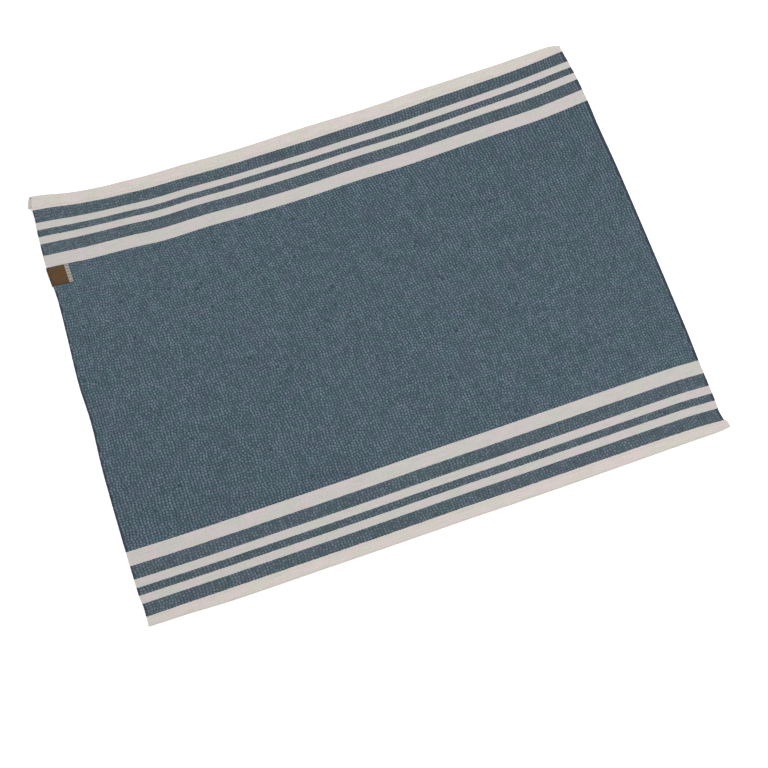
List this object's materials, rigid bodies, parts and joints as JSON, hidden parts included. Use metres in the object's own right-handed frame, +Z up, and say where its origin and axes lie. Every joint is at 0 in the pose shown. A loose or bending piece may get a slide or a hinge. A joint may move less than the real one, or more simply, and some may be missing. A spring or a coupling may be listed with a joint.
{
  "type": "fabric placemat",
  "caption": "Flat rectangular woven cloth placemat with striped long edges, turned hems and a small woven label folded over a short edge.",
  "frame": {"origin": "middle of the placemat's box, on the surface that it lies on", "axes": "+X along the long side, from the label's edge to the plain one; +Y along the short side, away from the user; +Z up, towards the face that shows"},
  "size_m": [0.4798, 0.3686, 0.0062],
  "materials": {
    "cloth": "matt slate blue woven cotton with cream stripes along both long edges",
    "label": "matt brown woven ribbon with a pale stitched end"
  },
  "bodies": {
    "root": {"mat": "cloth", "label": "label"}
  },
  "joints": []
}
